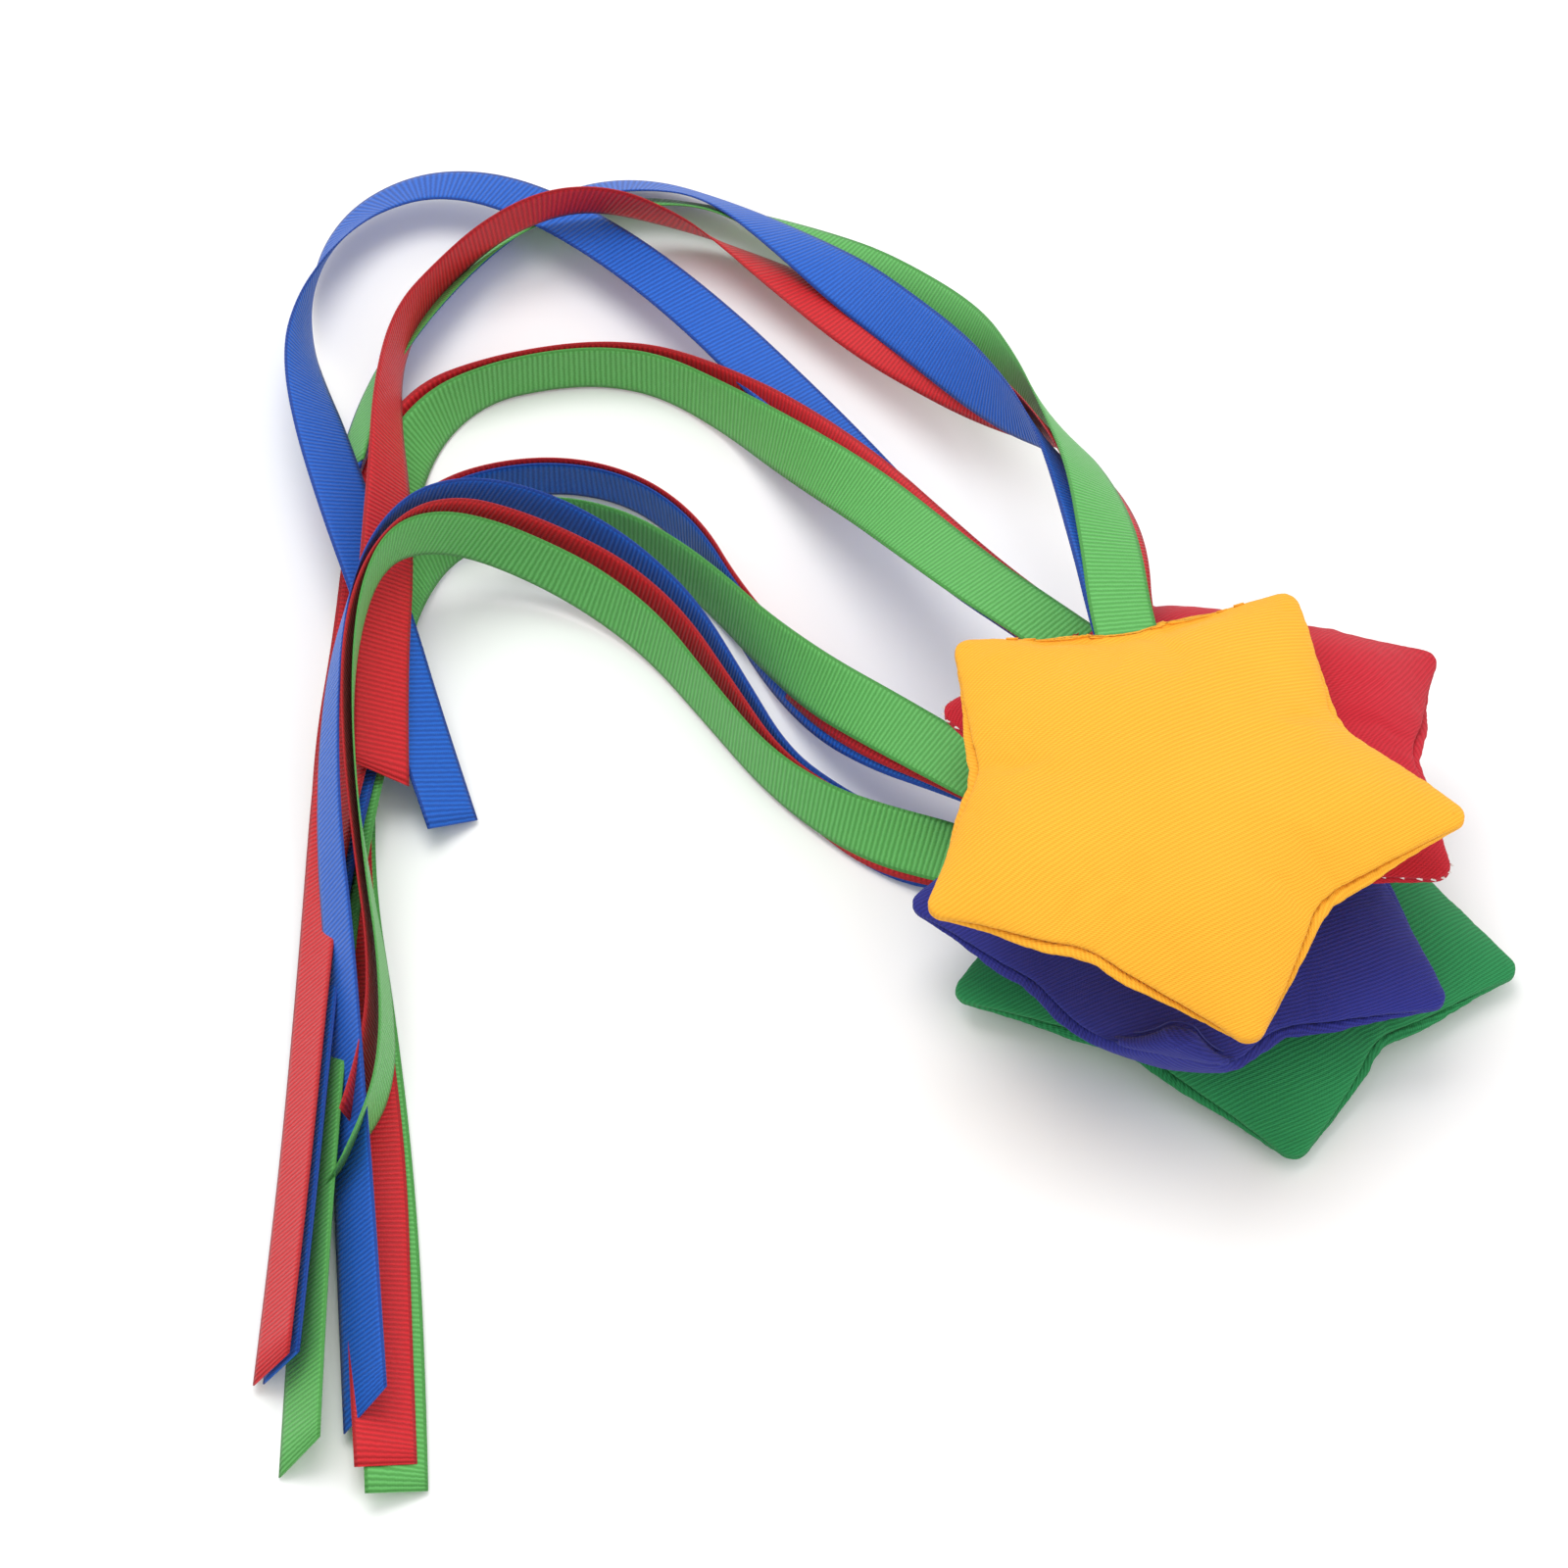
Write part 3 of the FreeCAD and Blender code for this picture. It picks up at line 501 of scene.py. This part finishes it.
def edge_points(start, end, spacing):
    count = max(2, round(np.linalg.norm(end - start) / spacing))
    return [start + (end - start) * k / count for k in range(count)]


# ---------------------------------------------------------------- bags by cloth simulation
SIM_SCALE = 20.0                # the cloth is simulated this much larger than life
SIM_FRAMES = 20
PRESSURE = 6.0
EDGE_INSETS = (0.0013, 0.0027, 0.0043)
GRID = 0.0022


class Pillow:
    """Two flat star panels that share their outline. Upper points come first, outline before all."""

    def __init__(self):
        self.outline = star_outline()
        self.count = len(self.outline)
        flat = [self.outline]
        for inset in EDGE_INSETS:
            flat.append(star_outline(inset))
        row = GRID * math.sqrt(3) / 2
        reach = int(STAR / row) + 1
        grid = np.array([
            (GRID * (i + 0.5 * (j % 2)), row * j)
            for j in range(-reach, reach + 1) for i in range(-reach, reach + 1)
        ])
        gaps = np.linalg.norm(grid[:, None] - self.outline[None], axis=2).min(axis=1)
        rim = np.hypot(*self.outline.T)
        bearings = np.arctan2(self.outline[:, 1], self.outline[:, 0])
        order = np.argsort(bearings)
        limit = np.interp(
            np.arctan2(grid[:, 1], grid[:, 0]), bearings[order], rim[order], period=2 * math.pi
        )
        inside = (np.hypot(*grid.T) < limit) & (gaps > EDGE_INSETS[-1] + 0.6 * GRID)
        flat.append(grid[inside])
        flat = np.concatenate(flat)
        edges = [(i, (i + 1) % self.count) for i in range(self.count)]
        made = delaunay_2d_cdt([Vector(p) for p in flat], edges, [], 1, 1e-7)
        origin = [source[0] for source in made[3]]
        faces = [tuple(origin[i] for i in face) for face in made[2]]
        total = len(flat)
        self.flat = np.concatenate([flat, flat[self.count:]])
        self.upper = faces
        self.twin = np.concatenate([np.arange(self.count), np.arange(total, len(self.flat))])
        self.lower = [tuple(int(self.twin[i]) for i in reversed(face)) for face in faces]
        self.total = total
        gaps = np.linalg.norm(flat[:, None] - self.outline[None], axis=2).min(axis=1)
        height = HALF_BAG * 0.8 * np.sqrt(1 - (1 - np.clip(gaps / 0.026, 0, 1)) ** 2)
        self.start = np.column_stack([self.flat, np.append(height, -height[self.count:])])


def blow_up(pillow):
    """Blow up the bags with cloth pressure, all of them over the same frames."""
    scene = bpy.context.scene
    bags = {}
    for index, name in enumerate(STACK):
        rng = np.random.default_rng(11 + index)
        start = pillow.start * SIM_SCALE
        start[:, 2] += rng.normal(0, 0.00015 * SIM_SCALE, len(start))
        bag = mesh_object(f"{name}_sim", start, pillow.upper + pillow.lower, None)
        cloth = bag.modifiers.new("cloth", "CLOTH")
        settings = cloth.settings
        settings.quality = 7
        settings.mass = 0.05
        settings.air_damping = 4.0
        settings.tension_stiffness = 30
        settings.compression_stiffness = 10
        settings.shear_stiffness = 5
        settings.bending_stiffness = 0.4
        settings.tension_damping = 10
        settings.compression_damping = 10
        settings.use_pressure = True
        settings.uniform_pressure_force = PRESSURE
        settings.effector_weights.gravity = 0
        cloth.point_cache.frame_start = 1
        cloth.point_cache.frame_end = SIM_FRAMES
        bags[name] = bag
    for step in range(1, SIM_FRAMES + 1):
        scene.frame_set(step)
    blown = {}
    graph = bpy.context.evaluated_depsgraph_get()
    for name, bag in bags.items():
        mesh = bag.evaluated_get(graph).to_mesh()
        blown[name] = np.array([v.co for v in mesh.vertices]) / SIM_SCALE
    for bag in bags.values():
        mesh = bag.data
        bpy.data.objects.remove(bag)
        bpy.data.meshes.remove(mesh)
    scene.frame_set(1)
    return blown


# ---------------------------------------------------------------- settling the bags in the stack
REST_GAP = 0.0003               # between one bag's cloth and the next

# How each point of a bag is moved from its flat place, in metres, from the first point round:
# along the point, across it (anticlockwise) and up.
POINT_MOVES = {
    "green": ((0, 0, -0.003), (0, 0, -0.004), (0.003, -0.002, -0.001), (0.003, 0.005, -0.004),
              (0.002, 0, -0.003)),
    "blue": ((0, 0, -0.006), (0, 0, -0.007), (0, 0.001, -0.002), (0, 0.006, 0), (0, 0, -0.002)),
    "red": ((-0.002, 0, -0.006), (-0.002, 0, -0.02), (-0.003, 0, 0), (-0.004, 0, -0.003),
            (0.001, 0.004, 0)),
    "yellow": ((0.001, -0.001, 0), (0, 0, 0), (-0.001, 0.001, -0.002), (0, 0.002, -0.007),
               (0, 0, 0.001)),
}
# How much fuller than the flat outline each side is, in metres, from the first point round.
SIDE_FULLNESS = {
    "green": (0.001, 0, 0.004, 0.007, 0.001),
    "blue": (0, 0, 0.005, 0.004, 0),
    "red": (-0.003, 0, 0, 0.001, 0.004),
    "yellow": (0.005, 0.0015, 0.0065, 0.001, 0),
}
CURLED = ("blue", 3)            # the point that is folded up against the bag above
CURL_START = 0.0385             # how far from the bag's centre it starts to bend
CURL_RADIUS = 0.006
CURL_SHARE = 0.75               # of the point's length, the rest being taken up in puckers
BELLY = 0.0026                  # the lower panel stands out this far past the seam
LIP = 0.0045                    # width of the flat, folded edge of the side closed by hand
LIP_FLATTENING = 0.6            # share of the height that the flat edge loses
LIP_EASE = 0.35                 # share of the side over which the flat edge begins
CREASE_DEPTH = 0.0008           # the crease along the inner side of the flat edge
CREASE_WIDTH = 0.0012
BELLY_RISE = (0, 0.0025)        # from the outline: where the belly starts, and is full
BELLY_FALL = (0.004, 0.014)     # from the outline: where it starts to end, and is gone
MOUTH = 0.0012                  # from the seam to either panel where the streamers leave
MOUTH_EASE = (0.75, 0.95)       # shares of the side between which the mouth opens
SEAM_PULL = (0.9, 0.9, 0.75)    # share of the way back to the flat outline, in x, y and z
SEAM_BLEND = 0.002              # a point this near to the outline moves with it
SIDE_EASE = (5, 34)             # degrees from a side's middle where it starts and ends to ease off
POINT_EASE = (8, 38)            # the same from a point's middle
POINT_REACH = (0.022, 0.056)    # from the bag's centre: where a point starts to move, and moves fully
LUMP_HEIGHT = 0.0013            # the pellets' lumps under the cloth
LUMP_SCALE = 45
TABLE_GAP = 0.0002
SETTLE_ROUNDS = 14              # how often a lifted dent is evened out over its neighbours
SEAM_GROOVE = 0.0012


def smooth(x, start, end):
    t = np.clip((x - start) / (end - start), 0, 1)
    return t * t * (3 - 2 * t)


def back_to_outline(name, pillow, blown):
    """Shift a blown-up bag so that its seam lies on the star's outline again, puckers and all."""
    places = blown.copy()
    count = pillow.count
    shift = np.column_stack([pillow.outline, np.zeros(count)]) - blown[:count]
    shift *= SEAM_PULL
    bearing = np.degrees(np.arctan2(pillow.outline[:, 1], pillow.outline[:, 0]))
    for side, fullness in enumerate(SIDE_FULLNESS[name]):
        shift[:, :2] += (fullness * side_share(bearing, side))[:, None] * side_facing(side)
    gaps = np.linalg.norm(pillow.flat[:, None] - pillow.outline[None], axis=2)
    weights = 1 / (gaps**2 + SEAM_BLEND**2)
    places += weights @ shift / weights.sum(axis=1)[:, None]
    places[:, 2] *= HALF_BAG / np.abs(places[:, 2]).max()
    return places


def side_share(bearing, side):
    """How far a bearing belongs to a side: 1 over its middle, easing to 0 at the points."""
    away = np.abs((bearing - 72 * side - 36 + 180) % 360 - 180)
    return 1 - smooth(away, *SIDE_EASE)


def side_facing(side):
    return direction(math.radians(72 * side + 36))


def shape_edges(name, pillow, places):
    """Round the lower panel out past the seam, and press the hand-closed edge flat."""
    bearing = np.degrees(np.arctan2(pillow.flat[:, 1], pillow.flat[:, 0]))
    gaps = np.linalg.norm(pillow.flat[:, None] - pillow.outline[None], axis=2).min(axis=1)
    lower = np.arange(len(places)) >= pillow.total
    belly = BELLY * smooth(gaps, *BELLY_RISE) * (1 - smooth(gaps, *BELLY_FALL)) * lower
    for side in range(POINTS):
        share = belly * side_share(bearing, side)
        places[:, :2] += share[:, None] * side_facing(side)
    closed = side_share(bearing, BAGS[name]["side"] - 0.5)
    closed_share = smooth(closed, 0, LIP_EASE)
    places[:, 2] *= 1 - LIP_FLATTENING * closed_share * (1 - smooth(gaps, 0.8 * LIP, 1.4 * LIP))
    crease = np.exp(-((gaps - LIP) / CREASE_WIDTH) ** 2) * closed_share
    places[:, 2] -= np.where(lower, 0, CREASE_DEPTH) * crease
    room = np.where(gaps > 0.0005, MOUTH, 0) * smooth(closed, *MOUTH_EASE)
    places[:, 2] = np.where(lower, np.minimum(places[:, 2], -room), np.maximum(places[:, 2], room))
    return places


def hang_points(name, flat, places):
    """Move a bag's points, and turn it to its place in the stack."""
    bag = BAGS[name]
    places = places.copy()
    bearing = np.degrees(np.arctan2(flat[:, 1], flat[:, 0])) % 360
    reach = np.hypot(*flat.T)
    for point, (outward, across, up) in enumerate(POINT_MOVES[name]):
        away = np.abs((bearing - 72 * point + 180) % 360 - 180)
        share = smooth(reach, *POINT_REACH) * (1 - smooth(away, *POINT_EASE))
        along = direction(math.radians(72 * point))
        places[:, :2] += share[:, None] * (outward * along + across * np.array([-along[1], along[0]]))
        places[:, 2] += share * up
        if (name, point) == CURLED:
            past = np.maximum(reach * np.cos(np.radians(away)) - CURL_START, 0) * (away < 36)
            bend = CURL_SHARE * past / CURL_RADIUS
            places[:, :2] += (CURL_RADIUS * np.sin(bend) - past)[:, None] * along
            places[:, 2] += CURL_RADIUS * (1 - np.cos(bend))
    angle = math.radians(bag["turn"])
    x, y = places[:, 0].copy(), places[:, 1].copy()
    places[:, 0] = x * math.cos(angle) - y * math.sin(angle) + bag["centre"][0]
    places[:, 1] = x * math.sin(angle) + y * math.cos(angle) + bag["centre"][1]
    seed = Vector((7.0 * STACK.index(name), 3.0, 1.0))
    lumps = np.array([smooth_noise.noise(Vector((*p[:2], 0)) * LUMP_SCALE + seed) for p in places])
    places[:, 2] += lumps * LUMP_HEIGHT * smooth(STAR - reach, 0.004, 0.03) + bag["seam"]
    return places


def neighbour_mean(pillow, field, rounds):
    """A field on a panel's points, evened out over each point's neighbours."""
    pairs = np.array([(f[k], f[k - 1]) for f in pillow.upper for k in range(3)])
    first = np.concatenate([pairs[:, 0], pairs[:, 1]])
    second = np.concatenate([pairs[:, 1], pairs[:, 0]])
    number = np.bincount(first, minlength=pillow.total)
    for _ in range(rounds):
        total = np.bincount(first, weights=field[second], minlength=pillow.total)
        field = 0.5 * field + 0.5 * total / number
    return field


def rest_on(pillow, places, below):
    """Lift a bag's points where it would sink into what is below it, the table or another bag."""
    low = places[pillow.twin]
    floor = np.full(pillow.total, TABLE_GAP)
    if below is not None:
        for i, place in enumerate(low):
            hit = below.ray_cast(Vector((place[0], place[1], 1)), Vector((0, 0, -1)))[0]
            if hit:
                floor[i] = hit.z + REST_GAP
    lift = np.maximum(floor - low[:, 2], 0)
    eased = neighbour_mean(pillow, lift, SETTLE_ROUNDS)
    thin = np.clip(places[:pillow.total, 2] - low[:, 2], 0, None)
    places[:pillow.total, 2] += np.where(thin > 0.004, 0.8 * eased, eased)
    places[pillow.twin[pillow.count:], 2] += np.maximum(lift, eased)[pillow.count:]
    return places


def press_seam(pillow, places):
    """Sink the seam into a groove between the two panels."""
    count = pillow.count
    centre = places[:count].mean(axis=0)
    inward = unit((centre - places[:count]) * (1, 1, 0))
    places[:count] += inward * SEAM_GROOVE
    return places


def add_bag(name, places, heap, pillow, materials):
    bearing = np.degrees(np.arctan2(pillow.outline[:, 1], pillow.outline[:, 0]))
    closed = side_share(bearing, BAGS[name]["side"] - 0.5)
    mouth = 0.75 * MOUTH * smooth(closed, *MOUTH_EASE)
    for part, faces in (("upper", pillow.upper), ("lower", pillow.lower)):
        opened = places.copy()
        opened[:pillow.count, 2] += mouth if part == "upper" else -mouth
        used = sorted({index for face in faces for index in face})
        renumber = {old: new for new, old in enumerate(used)}
        panel = mesh_object(
            f"{name}_{part}_cloth", opened[used],
            [tuple(renumber[i] for i in face) for face in faces],
            materials[f"{name}_twill"], pillow.flat[used],
        )
        finer = panel.modifiers.new("finer", "SUBSURF")
        finer.levels = finer.render_levels = 1
        thick = panel.modifiers.new("cloth", "SOLIDIFY")
        thick.thickness = CLOTH
        thick.offset = -1
        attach(panel, f"{name}_bag")
        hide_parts(f"{name}_{part}_panel")
    pellets = mesh_object(f"{name}_pellets", heap, pillow.upper + pillow.lower, materials["pellets"])
    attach(pellets, f"{name}_bag")
    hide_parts(f"{name}_pellet_fill")


# The points of a bag at which the stitches of the seam show.
BARE_STITCHES = {"green": (), "blue": (), "red": (2, 4), "yellow": ()}
BARE_REACH = 14                 # degrees of bearing to either side of such a point
BARE_OUT = 0.0005               # how far out from the seam, and up, a stitch stands that shows
BARE_UP = 0.0004
THREAD_INSET = 0.0016           # how far in the thread runs everywhere else
THREAD_RADIUS = 0.0002


def add_thread(name, places, outline, materials):
    count = len(outline)
    data = bpy.data.curves.new(f"{name}_seam_line", "CURVE")
    data.dimensions = "3D"
    data.bevel_depth = THREAD_RADIUS
    spline = data.splines.new("POLY")
    spline.points.add(count - 1)
    centre = places[:count].mean(axis=0)
    for i, (point, place, flat) in enumerate(zip(spline.points, places[:count], outline)):
        inward = unit((centre - place) * (1, 1, 0))
        away = [
            math.degrees(math.acos(unit(flat) @ direction(math.radians(72 * k))))
            for k in BARE_STITCHES[name]
        ]
        if i % 2 and min(away, default=180) < BARE_REACH:
            point.co = (*(place - inward * BARE_OUT + (0, 0, BARE_UP)), 1)
        else:
            point.co = (*(place + inward * THREAD_INSET), 1)
    spline.use_cyclic_u = True
    data.materials.append(materials[f"{name}_thread"])
    thread = bpy.data.objects.new(f"{name}_seam_line", data)
    bpy.context.collection.objects.link(thread)
    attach(thread, f"{name}_bag")
    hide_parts(f"{name}_seam_thread")


STITCH_INSET = 0.0028
STITCHES_EACH_WAY = 6
FIRST_STITCH = 9.5              # degrees from the side's middle, clear of the streamers
STITCH_STEP = 3.6


def add_stitches(name, places, pillow, materials):
    """The hand stitches that close the side the streamers leave by, laid just above its seam."""
    count = pillow.count
    bearings = np.degrees(np.arctan2(pillow.outline[:, 1], pillow.outline[:, 0]))
    middle = 72 * BAGS[name]["side"]
    away = (bearings - middle + 180) % 360 - 180
    verts, faces = [], []
    for way in (-1, 1):
        for i in range(STITCHES_EACH_WAY):
            at = way * (FIRST_STITCH + STITCH_STEP * i)
            rim = int(np.argmin(np.abs(away - at)))
            inside = pillow.outline[rim] * (1 - STITCH_INSET / np.linalg.norm(pillow.outline[rim]))
            under = int(np.argmin(np.linalg.norm(pillow.flat[:pillow.total] - inside, axis=1)))
            seam, lip = places[rim], places[under]
            along = unit(places[(rim + 1) % count] - places[rim - 1])
            rise = unit(lip - seam)
            out = np.cross(along, rise)
            out = out if out[2] > 0 else -out
            middle_place = lip + out * 0.0002
            for end in (-0.0011, 0.0011):
                for a, b in ((-1, -1), (1, -1), (1, 1), (-1, 1)):
                    verts.append(middle_place + along * end + rise * (a * 0.0002) + out * (b * 0.0002))
            base = len(verts) - 8
            faces += [(base, base + 3, base + 2, base + 1), (base + 4, base + 5, base + 6, base + 7)]
            faces += [
                (base + k, base + (k + 1) % 4, base + 4 + (k + 1) % 4, base + 4 + k) for k in range(4)
            ]
    stitches = mesh_object(f"{name}_stitches", verts, faces, materials[f"{name}_thread"])
    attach(stitches, f"{name}_bag")
    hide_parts(f"{name}_closing_stitches")


HEAP_SHARE = 0.94               # the pellets' outline as a share of the cloth's
HEAP_HEIGHT = 0.7
HEAP_REACH = 0.042              # the points beyond this are left empty


def add_bags(materials):
    pillow = Pillow()
    blown = blow_up(pillow)
    below = None
    for name in STACK:
        shaped = shape_edges(name, pillow, back_to_outline(name, pillow, blown[name]))
        hung = hang_points(name, pillow.flat, shaped)
        places = press_seam(pillow, rest_on(pillow, hung.copy(), below))
        inner = HEAP_SHARE * np.minimum(1, HEAP_REACH / np.hypot(*pillow.flat.T))[:, None]
        heap = shaped * np.hstack([inner, inner, np.full_like(inner, HEAP_HEIGHT)])
        heap = hang_points(name, pillow.flat * inner, heap) + places - hung
        below = BVHTree.FromPolygons([Vector(p) for p in places], pillow.upper + pillow.lower)
        add_bag(name, places, heap, pillow, materials)
        add_thread(name, places, pillow.outline, materials)
        add_stitches(name, places, pillow, materials)


# ---------------------------------------------------------------- table and light
def make_stage():
    verts = [(-3, -3, -0.0003), (3, -3, -0.0003), (3, 3, -0.0003), (-3, 3, -0.0003)]
    floor = mesh_object("floor", verts, [(0, 1, 2, 3)], plain("floor", (0.92, 0.92, 0.92), 0.7))
    world = bpy.data.worlds.new("studio")
    world.use_nodes = True
    world.node_tree.nodes["Background"].inputs["Color"].default_value = (1, 1, 1, 1)
    world.node_tree.nodes["Background"].inputs["Strength"].default_value = 0.95
    bpy.context.scene.world = world
    lamps = [                   # name, place, watts, diameter
        ("key", (-0.25, 0.25, 1.1), 5.5, 0.8),
        ("fill", (0.7, -0.5, 0.7), 1.8, 0.9),
    ]
    for name, place, power, size in lamps:
        data = bpy.data.lights.new(name, "AREA")
        data.energy = power
        data.shape = "DISK"
        data.size = size
        lamp = bpy.data.objects.new(name, data)
        lamp.location = place
        facing = Vector((-0.04, 0.04, 0)) - Vector(place)
        lamp.rotation_euler = facing.to_track_quat("-Z", "Y").to_euler()
        bpy.context.collection.objects.link(lamp)
    bpy.context.scene.view_settings.view_transform = "Standard"


make_camera()
MATERIALS = make_materials()
add_streamers(MATERIALS)
add_bags(MATERIALS)
make_stage()
